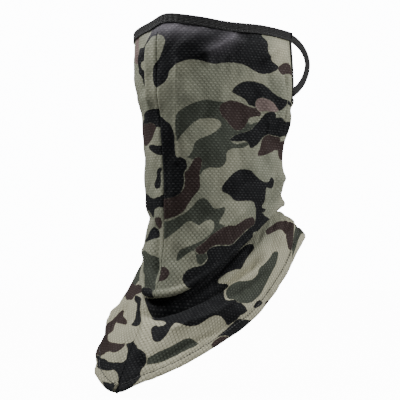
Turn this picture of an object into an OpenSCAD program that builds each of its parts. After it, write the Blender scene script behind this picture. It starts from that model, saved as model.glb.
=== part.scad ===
// Camouflage face mask: a knitted neck tube with ear loops and a pointed bib.
// Two mirrored cloth panels are sewn up the centre front and the centre back. Elastic tape binds
// the rim, and its ends carry the two ear loops. The mask is in the shape that it takes when worn.
// Millimetres. +Z is up, the nose points to -Y, and the wearer's left side is at +X.
// The origin is the middle of the head opening, level with the peak of the nose rim.

/* [Rim] */
// Half the width of the face opening, from ear to ear
rim_half_w = 75; // [70:0.5:80]
// How far the nose rim stands ahead of the ear line
rim_front = 102; // [96:1:106]
// How far the nose part of the rim rises over the ear part
nose_rise = 9.5; // [4:0.5:14]
// Angle round the head, from the nose, of the side edges that carry the ear loops
ear_angle = 103; // [98:1:108]
// Depth of the side edges' lower ends below the rim's peak
side_depth = 74; // [70:1:80]
// Depth of the edge at the nape below the rim's peak
nape_depth = 86; // [82:1:100]

/* [Neck tube] */
// Half the width of the tube at the neck
neck_half_w = 64; // [60:1:68]
// How far the tube reaches ahead of the ear line at the neck
neck_front = 98; // [94:1:102]
// How far the tube reaches behind the ear line at the neck
neck_back = 64; // [60:1:68]
// Depth at the front of the fold where the tube hangs over the bib
fold_front = 269; // [262:1:280]
// Depth at the back of the same fold
fold_back = 184; // [178:1:190]

/* [Bib] */
// Depth of the bib's point below the rim's peak
bib_depth = 354; // [340:1:366]
// How far the bib's point reaches ahead of the ear line
bib_front = 176; // [160:1:182]
// Half the width of the bib at the shoulders
bib_half_w = 87; // [82:1:92]
// How far the hem reaches behind the ear line
bib_back = 84; // [78:1:90]
// Width of the turned-up hem
hem_w = 8; // [6:0.5:10]

/* [Cloth and tape] */
// Thickness of one layer of the knitted cloth, with its bulk
cloth_t = 1; // [0.6:0.1:1.2]
// Width of the elastic tape on the nose rim
nose_tape_w = 9; // [7:0.5:11]
// Width of the tape on the side edges and the nape
edge_tape_w = 5; // [4:0.5:6]
// Thickness of a bound edge: the tape folded over the cloth
bound_t = 2.4; // [2:0.1:3]
// Diameter of the sewing thread, as a flattened stitch
thread_d = 0.6; // [0.4:0.1:0.8]

/* [Ear loops] */
// Width of the loop's flat elastic, in the plane of the loop
loop_w = 8; // [6:0.5:9]
// Thickness of the loop's elastic
loop_t = 1.4; // [1:0.1:1.6]
// Height of a loop over its two ends, outside
loop_h = 62.5; // [58:0.5:62.5]
// How far a loop reaches behind the side edge
loop_reach = 31; // [28:1:42]
// How far a loop stands out from straight back, in degrees
loop_splay = 8; // [0:1:15]

/* [Hidden] */

// The ear line, round which every outline of the tube is drawn
ear_y = 10;
// Clearances: between sewn pieces that meet, of a panel inside the edge tape, and of a hinged loop
seam_gap = 0.15;
tuck_gap = 1.2;
loop_gap = 3.2;

// Outline of the tube at each depth: [depth, value]
half_w_keys = [[0, rim_half_w], [60, rim_half_w + 1], [80, rim_half_w - 0.5],
    [105, mix(rim_half_w, neck_half_w, 0.5)], [125, neck_half_w + 2], [190, neck_half_w], [290, neck_half_w - 2]];
front_keys = [[0, rim_front], [40, rim_front + 6], [77, rim_front + 8], [102, rim_front + 4],
    [137, neck_front + 3], [188, neck_front], [215, neck_front], [240, neck_front + 5], [270, neck_front + 13],
    [290, neck_front + 15]];
back_keys = [[0, neck_back + 16], [60, neck_back + 14], [90, neck_back + 4], [125, neck_back - 2],
    [190, neck_back], [290, neck_back + 2]];
// How much the cloth is drawn straight from the nose to the cheeks: 1 is an ellipse
draw_keys = [[0, 1], [30, 1.15], [60, 1.4], [88, 1.65], [102, 1.6], [125, 1.35], [190, 1.25], [290, 1.2]];

// Depth of the fold and of the hem at each angle round from the front: [angle, depth]
fold_keys = [for (k = [[0, 1], [20, 0.955], [40, 0.74], [60, 0.42], [80, 0.13], [110, -0.04], [180, 0]])
    [k[0], mix(fold_back, fold_front, k[1])]];
hem_back_depth = fold_back + 19;
hem_keys = [for (k = [[0, 1], [20, 0.92], [35, 0.84], [50, 0.72], [65, 0.575], [80, 0.35], [92, 0.18],
    [110, 0.073], [140, 0.02], [180, 0]]) [k[0], mix(hem_back_depth, bib_depth, k[1])]];

// The overhang at the fold, as [outward, downward] steps from the end of the tube
fold_steps = [[0, -6], [2.5, -2], [1.5, 1.5], [-2.5, 1], [-6, -4], [-8.5, -8], [-11, -6.5], [-10.5, 0], [-7.5, 6]];

// Columns run from the nose rim, the side edge and the nape edge down to the hem
front_share = 0.5;
side_share = 0.66;
columns = concat([for (i = [0 : 13]) front_share * i / 13],
    [for (i = [1 : 5]) mix(front_share, side_share, i / 5)],
    [for (i = [1 : 7]) mix(side_share, 1, i / 7)]);
tube_rows = [for (i = [0 : 11]) i / 11];
bib_rows = [0.14, 0.32, 0.5, 0.67, 0.84, 1];
hem_row = len(tube_rows) + len(fold_steps) + len(bib_rows) - 2;

function mix(a, b, t) = a + (b - a) * t;
function smooth(t) = let (c = min(1, max(0, t))) c * c * (3 - 2 * c);
function unit(v) = v / norm(v);

// A smooth curve through keys of [x, value]
function slope(keys, i) = i == 0 || i == len(keys) - 1 ? 0
    : (keys[i + 1][1] - keys[i - 1][1]) / (keys[i + 1][0] - keys[i - 1][0]);
function curve(keys, x) = let (
    last = len(keys) - 1,
    c = min(max(x, keys[0][0]), keys[last][0]),
    i = max([for (j = [0 : last - 1]) if (keys[j][0] <= c) j]),
    w = keys[i + 1][0] - keys[i][0],
    t = (c - keys[i][0]) / w)
    mix(keys[i][1], keys[i + 1][1], smooth(t))
    + slope(keys, i) * w * t * (1 - t) * (1 - t)
    - slope(keys, i + 1) * w * t * t * (1 - t);

// A point of an egg-shaped outline, at an angle from the front
function outline(angle, half_w, front, back, draw) =
    [half_w * sin(angle), ear_y - (cos(angle) > 0 ? front * pow(cos(angle), draw) : back * cos(angle))];

function tube_point(angle, depth) = let (
    p = outline(angle, curve(half_w_keys, depth), curve(front_keys, depth), curve(back_keys, depth),
        curve(draw_keys, depth)))
    [p[0], p[1], -depth];

// Depth of the nose rim's outer edge
function rim_depth(angle) = nose_rise * smooth(angle / 50);

// The side edge for t from 0 to 1, then the nape edge from 1 to 2, as [angle, depth] at an inset
side_lean = 7;
side_top = nose_rise + nose_tape_w + seam_gap;
function back_edge(t, inset) = let (corner = ear_angle + side_lean * min(t, 1) - asin(inset / rim_half_w))
    t <= 1 ? [corner, mix(side_top, side_depth + inset, t)]
    : [mix(corner, 180, t - 1), mix(side_depth, nape_depth, smooth(t - 1)) + inset];

// The panel's own top edge, under the tapes
panel_inset = edge_tape_w + tuck_gap;
function panel_edge(share) =
    share <= front_share ? let (t = share / front_share)
        [back_edge(0, panel_inset)[0] * t, rim_depth(ear_angle * t) + nose_tape_w + seam_gap]
    : share <= side_share ? back_edge((share - front_share) / (side_share - front_share), panel_inset)
    : back_edge(1 + (share - side_share) / (1 - side_share), panel_inset);

// The overhang and the bib, from the fold down to the hem
function fold_point(angle, step) = let (
    p = tube_point(angle, curve(fold_keys, angle)),
    out = unit([p[0], p[1] - ear_y, 0]))
    p + out * step[0] - [0, 0, step[1]];
function hem_point(angle) = let (p = outline(angle, bib_half_w, bib_front, bib_back, 1.2))
    [p[0], p[1], -curve(hem_keys, angle)];
function bib_point(angle, t) = let (
    a = fold_point(angle, fold_steps[len(fold_steps) - 1]),
    c = hem_point(angle),
    b = [mix(a[0], c[0], 0.5), mix(a[1], c[1], 0.5), mix(a[2], c[2], 0.2)])
    a * (1 - t) * (1 - t) + b * 2 * t * (1 - t) + c * t * t;

// Where the hem's fold starts, as a share of the bib's length
function hem_share(angle) = let (a = fold_point(angle, fold_steps[len(fold_steps) - 1]))
    1 - hem_w / norm(hem_point(angle) - a);

// One column of the panel, from its top edge to the hem
function column(share) = let (top = panel_edge(share), low = 180 * share, hem = hem_share(low))
    concat(
        [for (t = tube_rows) let (angle = mix(top[0], low, 1 - (1 - t) * (1 - t)))
            t < 1 ? tube_point(angle, mix(top[1], curve(fold_keys, low) - 6, t)) : fold_point(low, fold_steps[0])],
        [for (i = [1 : len(fold_steps) - 1]) fold_point(low, fold_steps[i])],
        [for (t = bib_rows) bib_point(low, t * hem)],
        [bib_point(low, hem + 0.02), bib_point(low, 1)]);

panel = [for (s = columns) column(s)];
last_column = len(panel) - 1;
last_row = len(panel[0]) - 1;

// Outward direction of the cloth at a point of the grid; the seams lie in the mirror plane
function outward(i, j) = let (
    round_it = i == 0 ? [1, 0, 0] : i == last_column ? [-1, 0, 0] : panel[i + 1][j] - panel[i - 1][j],
    down = panel[i][min(j + 1, last_row)] - panel[i][max(j - 1, 0)])
    unit(cross(down, round_it));
function cloth_point(i, j, out) = panel[i][j] + outward(i, j) * out;

// Closed skins: a sheet with two faces, and a strip swept through rings of points
module sheet(front, back) {
    n = len(front);
    m = len(front[0]);
    function f(i, j) = i * m + j;
    function b(i, j) = n * m + i * m + j;
    quads = concat(
        [for (i = [0 : n - 2], j = [0 : m - 2]) [f(i, j), f(i, j + 1), f(i + 1, j + 1), f(i + 1, j)]],
        [for (i = [0 : n - 2], j = [0 : m - 2]) [b(i, j), b(i + 1, j), b(i + 1, j + 1), b(i, j + 1)]],
        [for (i = [0 : n - 2]) [f(i, 0), f(i + 1, 0), b(i + 1, 0), b(i, 0)]],
        [for (i = [0 : n - 2]) [f(i + 1, m - 1), f(i, m - 1), b(i, m - 1), b(i + 1, m - 1)]],
        [for (j = [0 : m - 2]) [f(0, j + 1), f(0, j), b(0, j), b(0, j + 1)]],
        [for (j = [0 : m - 2]) [f(n - 1, j), f(n - 1, j + 1), b(n - 1, j + 1), b(n - 1, j)]]);
    polyhedron(
        points = concat([for (c = front) each c], [for (c = back) each c]),
        faces = [for (q = quads) each [[q[0], q[1], q[2]], [q[0], q[2], q[3]]]],
        convexity = 6);
}

module sweep(rings) {
    k = len(rings[0]);
    last = len(rings) - 1;
    polyhedron(
        points = [for (r = rings) each r],
        faces = concat(
            [[for (a = [0 : k - 1]) a]],
            [for (i = [0 : last - 1], a = [0 : k - 1]) each [
                [i * k + a, (i + 1) * k + a, (i + 1) * k + (a + 1) % k],
                [i * k + a, (i + 1) * k + (a + 1) % k, i * k + (a + 1) % k]]],
            [[for (a = [k - 1 : -1 : 0]) last * k + a]]),
        convexity = 6);
}

// A round thread along a path
module thread(path) {
    last = len(path) - 1;
    sweep([for (i = [0 : last]) let (
        along = unit(path[min(i + 1, last)] - path[max(i - 1, 0)]),
        side = unit(cross(along, abs(along[2]) < 0.9 ? [0, 0, 1] : [1, 0, 0])),
        other = cross(along, side))
        [for (a = [0 : 60 : 300]) path[i] + (side * cos(a) + other * sin(a)) * thread_d / 2]]);
}

// A bound edge: a flat tape between its outer and its inner line
module bound_edge(outer, inner) {
    last = len(outer) - 1;
    sweep([for (i = [0 : last]) let (
        along = unit(outer[min(i + 1, last)] - outer[max(i - 1, 0)]),
        out = unit(cross(inner[i] - outer[i], along)) * bound_t / 2)
        [outer[i] + out, outer[i] - out, inner[i] - out, inner[i] + out]]);
}

module left_panel() {
    color("#8b8c7b")
        sheet([for (i = [0 : last_column]) [for (j = [0 : last_row]) panel[i][j]]],
            [for (i = [0 : last_column]) [for (j = [0 : last_row])
                cloth_point(i, j, j > hem_row ? -2 * cloth_t : -cloth_t)]]);
}

module right_panel() {
    mirror([1, 0, 0])
        left_panel();
}

// The tape's two lines on the nose rim, over both sides of the face
rim_angles = [for (a = [-26 : 26]) a * ear_angle / 26];
function rim_point(angle, drop) = let (p = tube_point(abs(angle), rim_depth(abs(angle)) + drop))
    [sign(angle) * p[0], p[1], p[2]];

module nose_binding() {
    color("#242424")
        bound_edge([for (a = rim_angles) rim_point(a, 0)], [for (a = rim_angles) rim_point(a, nose_tape_w)]);
}

// The tape on the side edges and the nape is one length, from ear to ear round the back
edge_steps = concat([for (i = [0 : 24]) [1, i / 12]], [for (i = [23 : -1 : 0]) [-1, i / 12]]);
function edge_point(step, inset) = let (e = back_edge(step[1], inset), p = tube_point(e[0], e[1]))
    [step[0] * p[0], p[1], p[2]];

module nape_binding() {
    color("#242424")
        bound_edge([for (e = edge_steps) edge_point(e, 0)], [for (e = edge_steps) edge_point(e, edge_tape_w)]);
}

// A loop lies in the plane of the side edge, and swings on the line of that edge
loop_top = tube_point(ear_angle, nose_rise);
loop_low = tube_point(ear_angle + side_lean, side_depth);
loop_x = (loop_top[0] + loop_low[0]) / 2;
loop_lean = atan2(loop_low[1] - loop_top[1], loop_top[2] - loop_low[2]);

loop_tip_r = 21;
module loop_outline(inset) {
    hull() {
        translate([loop_reach - loop_tip_r, 0])
            circle(r = loop_tip_r - inset, $fn = 72);
        translate([-5, -loop_h / 2 + inset])
            square([5 + loop_gap, loop_h - 2 * inset]);
    }
}

module left_ear_loop() {
    color("#1c1c1c")
        translate([loop_x, loop_top[1], loop_top[2] - 1])
            rotate([loop_lean, 0, 0])
                translate([0, loop_gap / 2, 0])
                    rotate([0, 0, -loop_splay])
                        translate([-loop_t / 2, -loop_gap / 2, -loop_h / 2])
                            rotate([90, 0, 90])
                                linear_extrude(loop_t)
                                    difference() {
                                        loop_outline(0);
                                        loop_outline(loop_w);
                                        translate([-loop_h, -loop_h])
                                            square([loop_h + loop_gap, 2 * loop_h]);
                                    }
}

module right_ear_loop() {
    mirror([1, 0, 0])
        left_ear_loop();
}

// Threads run on the face of the cloth or tape that they hold
thread_out = thread_d / 2 + seam_gap;

module front_seam_thread() {
    color("#6f7060")
        thread([for (j = [1 : last_row]) cloth_point(0, j, -(j > hem_row ? 2 : 1) * cloth_t - thread_out)]);
}

module back_seam_thread() {
    color("#6f7060")
        thread([for (j = [1 : last_row])
            cloth_point(last_column, j, -(j > hem_row ? 2 : 1) * cloth_t - thread_out)]);
}

module nose_binding_thread() {
    path = [for (a = rim_angles) let (
        p = rim_point(a, nose_tape_w - 1.5),
        out = unit([p[0], p[1] - ear_y, 0]))
        p + out * (bound_t / 2 + thread_out + 0.25)];
    color("#2c2c2c")
        thread(path);
}

module nape_binding_thread() {
    path = [for (e = edge_steps) let (
        p = edge_point(e, edge_tape_w - 1.2),
        out = unit([p[0], p[1] - ear_y, 0]))
        p + out * (bound_t / 2 + thread_out + 0.25)];
    color("#2c2c2c")
        thread(path);
}

module left_hem_thread() {
    color("#1c1c1c")
        thread([for (i = [0 : last_column]) cloth_point(i, hem_row, thread_out) + [i == 0 ? 0.5 : 0, 0, 0]]);
}

module right_hem_thread() {
    mirror([1, 0, 0])
        left_hem_thread();
}

// Bar tacks: short dense bars of thread on the tape where a loop's end is caught under it
tack_size = [0.8, 1.6, 5.4];
tack_inset = 1.8;
module tack(angle, depth) {
    p = tube_point(angle - asin(tack_inset / rim_half_w), depth);
    out = unit([p[0], p[1] - ear_y, 0]);
    translate(p + out * (bound_t / 2 + tack_size[0] / 2 + 2 * seam_gap))
        rotate([0, 0, atan2(out[1], out[0])])
            cube(tack_size, center = true);
}

module left_loop_tacks() {
    color("#101010") {
        tack(ear_angle, nose_rise + 0.6 + tack_size[2] / 2);
        tack(ear_angle + side_lean, side_depth - 1.2 - tack_size[2] / 2);
    }
}

module right_loop_tacks() {
    mirror([1, 0, 0])
        left_loop_tacks();
}

left_panel();
right_panel();
nose_binding();
nape_binding();
left_ear_loop();
right_ear_loop();
front_seam_thread();
back_seam_thread();
nose_binding_thread();
nape_binding_thread();
left_hem_thread();
right_hem_thread();
left_loop_tacks();
right_loop_tacks();
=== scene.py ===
"""A camouflage face mask: a knitted neck tube with a bound rim, two ear loops and a pointed bib.

The script works in millimetres in the frame's own axes: +Z up, the nose at -Y, the wearer's
left at +X. Angles run round the tube from the front, positive on the wearer's left.
"""

import bpy
import numpy as np
from mathutils import Matrix, Vector


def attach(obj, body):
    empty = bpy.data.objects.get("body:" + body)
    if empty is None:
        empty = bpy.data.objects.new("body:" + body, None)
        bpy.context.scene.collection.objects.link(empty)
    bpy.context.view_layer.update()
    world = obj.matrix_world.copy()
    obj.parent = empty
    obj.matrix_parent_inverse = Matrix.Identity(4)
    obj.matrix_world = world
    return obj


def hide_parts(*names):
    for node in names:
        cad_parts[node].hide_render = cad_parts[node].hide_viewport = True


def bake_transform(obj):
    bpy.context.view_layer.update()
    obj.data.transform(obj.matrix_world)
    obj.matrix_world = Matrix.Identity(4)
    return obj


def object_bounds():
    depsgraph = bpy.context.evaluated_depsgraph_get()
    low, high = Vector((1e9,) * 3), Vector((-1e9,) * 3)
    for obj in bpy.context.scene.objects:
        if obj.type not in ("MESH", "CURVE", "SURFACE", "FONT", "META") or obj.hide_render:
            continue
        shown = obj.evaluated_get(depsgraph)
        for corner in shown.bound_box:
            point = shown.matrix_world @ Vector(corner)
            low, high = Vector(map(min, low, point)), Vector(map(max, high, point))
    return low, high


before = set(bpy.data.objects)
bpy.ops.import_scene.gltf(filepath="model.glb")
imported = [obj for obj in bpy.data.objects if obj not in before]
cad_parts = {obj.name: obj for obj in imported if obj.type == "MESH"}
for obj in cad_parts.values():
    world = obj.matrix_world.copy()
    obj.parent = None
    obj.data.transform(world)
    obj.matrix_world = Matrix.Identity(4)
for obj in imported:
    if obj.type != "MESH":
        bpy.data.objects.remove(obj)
cad_low, cad_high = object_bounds()

MM = 0.001
SIDES = {"left": 1, "right": -1}


# ---------------------------------------------------------------- sizes, as in the CAD model

EAR_Y = 10                 # the line round which every outline of the tube is drawn
EAR_ANGLE = 103            # angle of the side edges, which carry the ear loops
SIDE_LEAN = 7              # how much further back the side edge is at its lower end
SIDE_TOP = 18.65           # where the side edge's tape starts, under the nose tape
SIDE_DEPTH = 74            # depth of the side edge's lower end
NAPE_DEPTH = 86            # depth of the nape edge at the centre back
RIM_HALF_W = 75
NOSE_TAPE_W = 9
EDGE_TAPE_W = 5
RIB_PITCH = 1.5            # of the ribs along the tapes
BACK_FOLD, FRONT_FOLD = 184, 269                    # depth of the fold above the bib
BACK_HEM, FRONT_HEM = 203, 354                      # depth of the bib's hem
BIB_HALF_W, BIB_FRONT, BIB_BACK = 87, 176, 84       # reach of the hem from the tube's axis
BIB_DRAWN = 1.2                                     # how pointed the hem is, as in DRAWN

# Outline of the tube at each depth: half width, reach to front and back, and how pointed in front
HALF_W = [(0, 75), (60, 76), (80, 74.5), (105, 69.5), (125, 66), (190, 64), (290, 62)]
FRONT = [(0, 102), (40, 108), (77, 110), (102, 106), (137, 101), (188, 98), (215, 98), (240, 103),
         (270, 111), (290, 113)]
BACK = [(0, 80), (60, 78), (90, 68), (125, 62), (190, 64), (290, 66)]
DRAWN = [(0, 1), (30, 1.15), (60, 1.4), (88, 1.65), (102, 1.6), (125, 1.35), (190, 1.25), (290, 1.2)]

# Share of the way from the back's depth to the front's, at each angle
FOLD = [(0, 1), (20, 0.955), (40, 0.74), (60, 0.42), (80, 0.13), (110, -0.04), (180, 0)]
HEM = [(0, 1), (20, 0.92), (35, 0.84), (50, 0.72), (65, 0.575), (80, 0.35), (92, 0.18), (110, 0.073),
       (140, 0.02), (180, 0)]

# Depth of the rim: the cloth sits a little askew, with its peak off the middle of the nose
RIM = [(-103, 9.5), (-60, 11.5), (-45, 12), (-25, 10), (-10, 6.5), (0, 1.4), (6, 0.4), (15, 1.7),
       (29, 4.5), (47, 8.3), (70, 8.5), (89, 9.4), (103, 9.4)]

# The overhang at the fold, as (outward, downward) steps from the end of the tube
FOLD_STEPS = [(0, -6), (2.5, -2), (1.5, 1.5), (-2.5, 1), (-6, -4), (-8.5, -8), (-11, -6.5),
              (-10.5, 0), (-7.5, 6)]


# ---------------------------------------------------------------- shape

def mix(a, b, t):
    return a + (b - a) * t


def smooth(t):
    """An even rise from 0 at t = 0 to 1 at t = 1."""
    t = np.clip(t, 0, 1)
    return t * t * (3 - 2 * t)


def unit(v):
    return v / np.maximum(np.linalg.norm(v, axis=-1, keepdims=True), 1e-9)


def curve(keys, x):
    """A smooth curve through keys of (x, value)."""
    xs, ys = np.array(keys, float).T
    slopes = np.zeros_like(ys)
    slopes[1:-1] = (ys[2:] - ys[:-2]) / (xs[2:] - xs[:-2])
    x = np.clip(x, xs[0], xs[-1])
    i = np.clip(np.searchsorted(xs, x, side="right") - 1, 0, len(xs) - 2)
    width = xs[i + 1] - xs[i]
    t = (x - xs[i]) / width
    bend = slopes[i] * (1 - t) - slopes[i + 1] * t
    return mix(ys[i], ys[i + 1], smooth(t)) + width * t * (1 - t) * bend


def distances(path):
    """How far along a line of points each of its points is."""
    return np.concatenate([[0], np.cumsum(np.linalg.norm(np.diff(path, axis=0), axis=1))])


def spline(points, count):
    """A smooth line through points, as that many points evenly spaced."""
    points = np.array(points, float)
    along = distances(points)
    fine = np.linspace(0, along[-1], count)
    return np.stack([curve(list(zip(along, column)), fine) for column in points.T], axis=1)


def outline(angle, half_w, front, back, drawn):
    """A point of an egg-shaped outline at an angle from the front, as x and y."""
    turn = np.radians(np.abs(angle))
    ahead = front * np.maximum(np.cos(turn), 0) ** drawn
    behind = back * np.minimum(np.cos(turn), 0)
    return np.sign(angle) * half_w * np.sin(turn), EAR_Y - ahead - behind


def tube(angle, depth):
    """A point of the tube's plain surface, at an angle and a depth under the peak of the rim."""
    x, y = outline(angle, curve(HALF_W, depth), curve(FRONT, depth), curve(BACK, depth),
                   curve(DRAWN, depth))
    return np.stack([x, y, -depth + 0 * x], axis=-1)


def fold_depth(angle):
    return mix(BACK_FOLD, FRONT_FOLD, curve(FOLD, np.abs(angle)))


def fold_point(angle, out, down):
    """A point so far outward and downward from the end of the tube."""
    p = tube(angle, fold_depth(angle))
    outward = unit((p - (0, EAR_Y, 0)) * (1, 1, 0))
    return p + outward * np.expand_dims(out, -1) - np.stack([0 * down, 0 * down, down], axis=-1)


def hem_point(angle):
    x, y = outline(angle, BIB_HALF_W, BIB_FRONT, BIB_BACK, BIB_DRAWN)
    return np.stack([x, y, -mix(BACK_HEM, FRONT_HEM, curve(HEM, np.abs(angle)))], axis=-1)


def bib(angle, t):
    """The bib at a share t of the way from the fold to the hem."""
    last = np.array(FOLD_STEPS[-1], float)
    a = fold_point(angle, last[0] + 0 * angle, last[1] + 0 * angle)
    c = hem_point(angle)
    b = mix(a, c, np.array([0.5, 0.5, 0.2]))
    t = np.expand_dims(t, -1)
    return a * (1 - t) ** 2 + b * 2 * t * (1 - t) + c * t ** 2


def back_edge(t, inset):
    """The side edge for t from 0 to 1, then the nape edge from 1 to 2, as angle and depth."""
    corner = EAR_ANGLE + SIDE_LEAN * np.minimum(t, 1) - np.degrees(np.arcsin(inset / RIM_HALF_W))
    nape = np.clip(t - 1, 0, 1)
    angle = mix(corner, 180, nape)
    depth = np.where(t <= 1, mix(SIDE_TOP, SIDE_DEPTH + inset, np.minimum(t, 1)),
                     mix(SIDE_DEPTH, NAPE_DEPTH, smooth(nape)) + inset)
    return angle, depth


# ---------------------------------------------------------------- folds in the cloth

def nearest_on_line(u, v, line):
    """Each (u, v)'s distance to a line, how far along its nearest point is, and the line's length."""
    nearest = np.full(np.shape(u), 1e9)
    place = np.zeros(np.shape(u))
    start = 0
    for (u0, v0), (u1, v1) in zip(line[:-1], line[1:]):
        du, dv = u1 - u0, v1 - v0
        length = np.hypot(du, dv)
        t = np.clip(((u - u0) * du + (v - v0) * dv) / length ** 2, 0, 1)
        distance = np.hypot(u - u0 - t * du, v - v0 - t * dv)
        place = np.where(distance < nearest, start + t * length, place)
        nearest = np.minimum(nearest, distance)
        start += length
    return nearest, place, start


def crease(u, v, width, line):
    """A ridge of height 1 along a line of points, fading out towards its ends."""
    nearest, place, length = nearest_on_line(u, v, line)
    from_end = np.minimum(place, length - place)
    return np.exp(0.3 - np.hypot(nearest / width * 1.3, 0.3)) * smooth(from_end / width / 3)


# Creases as (height, width, line), in mm round the cloth from the front seam, positive on the
# wearer's left, and down it from the rim's peak
CREASES = [
    # the front seam, proud on both sides, and a pressed crease beside it
    (0.6, 1.4, [(-2.2, 20), (-2.2, 275)]),
    (0.9, 1.2, [(2.2, 70), (2.2, 275)]),
    (-0.4, 1.0, [(0, 20), (0, 275)]),
    (2.2, 1.5, [(20, 44), (19, 80), (17, 100), (15, 120), (14, 146)]),
    # slanting folds under the nose tape
    (4.7, 5, [(34, 44), (52, 37), (63, 31), (72, 23), (78, 15)]),
    (-2.9, 5, [(48, 47), (66, 42), (86, 28)]),
    (2.5, 6, [(16, 33), (40, 26)]),
    (3.2, 5, [(104, 48), (122, 34), (138, 22)]),
    # creases of the near cheek and of the middle
    (-2.2, 1.6, [(141, 52), (139, 112)]),
    (2.2, 1.4, [(115, 98), (113, 114)]),
    (1.6, 8, [(152, 50), (124, 80), (100, 124), (84, 168)]),
    (-1.8, 7, [(130, 100), (112, 130), (100, 170)]),
    (1.8, 8, [(70, 60), (52, 110), (44, 150)]),
    (-2.2, 7, [(24, 210), (60, 180), (100, 150)]),
    (2.3, 7, [(20, 240), (50, 214), (96, 180)]),
    # pinched cloth over the near shoulder
    (2.9, 5, [(127, 146), (123, 164), (108, 186)]),
    (-2.9, 4, [(135, 148), (132, 166), (120, 188)]),
    (2.5, 4, [(143, 150), (141, 166), (131, 184)]),
    (-4.7, 6, [(112, 194), (136, 182), (160, 176), (210, 172)]),
    (3.6, 6, [(130, 158), (160, 152), (210, 150)]),
    # upright folds of the far cheek
    (3.2, 4, [(-12, 22), (-11, 92)]),
    (-3.2, 3, [(-20, 34), (-19, 80)]),
    (2.6, 5, [(-28, 26), (-27, 92)]),
    (-3.6, 4, [(-39, 34), (-34, 104)]),
    (1.8, 5, [(-50, 30), (-44, 100)]),
    # the far shoulder, pinched in above a loose fold
    (-5.4, 11, [(-90, 194), (-50, 194), (-16, 196), (-4, 200)]),
    (-6.1, 5, [(-18, 196), (-11, 216), (-8, 240), (-4, 268)]),
    (3.2, 8, [(-90, 226), (-50, 226), (-28, 232), (-18, 256), (-12, 276)]),
    (-2.2, 5, [(-18, 262), (-32, 240), (-60, 236)]),
    # the hollow under the fold
    (-10.8, 9, [(-30, 312), (0, 318), (30, 314), (60, 304), (110, 280), (140, 262)]),
    # folds of the bib
    (5.4, 6, [(-4, 326), (4, 345), (12, 366), (20, 390)]),
    (-5.8, 7, [(26, 392), (40, 378), (60, 364), (90, 350), (118, 326)]),
    (4.3, 6, [(26, 352), (52, 342), (84, 330), (112, 306)]),
    (4.7, 6, [(80, 306), (106, 290), (134, 272)]),
    (-4.0, 6, [(84, 318), (120, 298), (150, 278)]),
    (3.6, 6, [(150, 258), (175, 246), (204, 232)]),
    (-4.3, 6, [(-16, 350), (-36, 334), (-70, 318)]),
    (6.5, 10, [(-30, 372), (-56, 350), (-96, 318)]),
]


def ripple(u, v, length, slant, seed):
    """Soft wavy unevenness of about a length, in the range -1 to 1."""
    s, t = u * np.cos(slant) + v * np.sin(slant), v * np.cos(slant) - u * np.sin(slant)
    bend = 1.3 * np.sin(t * 2.1 / length + seed) + 0.7 * np.sin((s + t) * 1.3 / length + 2 * seed)
    return np.sin(s * 6.28 / length + bend) * (0.6 + 0.4 * np.sin(t * 3.1 / length + 3 * seed))


def relief(u, v, rim, hem):
    """How far the cloth stands out at (u, v), for its distance from the bound edge and the hem."""
    total = 0.8 * ripple(u, v, 46, 0.5, 1.0) + 0.5 * ripple(u, v, 27, -0.7, 2.0)
    total += 0.25 * ripple(u, v, 13, 0.2, 4.0)
    total += 1.3 * np.abs(ripple(u, v, 74, 0.9, 2.5)) + 0.9 * np.abs(ripple(u, v, 52, -0.5, 6.0)) - 1
    for height, width, line in CREASES:
        total += height * crease(u, v, width, line)
    # the front billows below the nose tape, and the cloth is gathered into the tape
    below = np.maximum(rim - NOSE_TAPE_W, 0)
    total += 3.2 * smooth(below / 10) * smooth((55 - below) / 45) * smooth((u + 30) / 30)
    gathered = 0.5 + smooth((np.abs(u - 12) - 50) / 30)
    total += gathered * ripple(u, 0.15 * v, 4.8, 0, 3.0) * np.exp(-below / 8) * smooth(below / 3)
    # puckers along the hem's stitches, and the hem's thickness with the stitches' groove
    total += 0.4 * ripple(u, 0, 8.5, 0, 5.0) * np.exp(-((hem - HEM_W) / 6) ** 2)
    total += 0.5 * smooth((HEM_W - hem) / 1.5) - 1.3 * np.exp(-((hem - HEM_W) / 1.5) ** 2)
    return total * smooth((rim - NOSE_TAPE_W + 1.5) / 4)       # flat under the bound edge


# ---------------------------------------------------------------- mesh building

def add_piece(name, points, faces, materials, node, body):
    """A smooth mesh piece in place of a CAD node, from points in millimetres."""
    mesh = bpy.data.meshes.new(name)
    mesh.from_pydata((np.array(points) * MM).tolist(), [], [list(map(int, f)) for f in faces])
    mesh.validate()
    mesh.shade_smooth()
    for material in materials:
        mesh.materials.append(material)
    piece = bpy.data.objects.new(name, mesh)
    bpy.context.scene.collection.objects.link(piece)
    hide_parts(node)
    if body:
        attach(piece, body)
    return piece


def grid_faces(columns, rows, flip=False):
    i, j = np.meshgrid(np.arange(columns - 1), np.arange(rows - 1), indexing="ij")
    a = (i * rows + j).ravel()
    quads = np.stack([a, a + rows, a + rows + 1, a + 1], axis=1)
    return quads[:, ::-1] if flip else quads


def grid_normals(grid):
    across = np.gradient(grid, axis=0)
    down = np.gradient(grid, axis=1)
    return unit(np.cross(down, across))


def ring_faces(rings, count):
    """Faces of a skin swept through rings of count points, with its two ends closed."""
    i, a = np.meshgrid(np.arange(rings - 1), np.arange(count), indexing="ij")
    i, a = i.ravel() * count, a.ravel()
    b = (a + 1) % count
    quads = np.stack([i + a, i + count + a, i + count + b, i + b], axis=1).tolist()
    return quads + [list(range(count)), [(rings - 1) * count + k for k in reversed(range(count))]]


def store(mesh, name, values):
    """Keeps a value for each vertex, for the material to read."""
    mesh.attributes.new(name, "FLOAT", "POINT").data.foreach_set("value", values.astype(np.float32))


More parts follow.
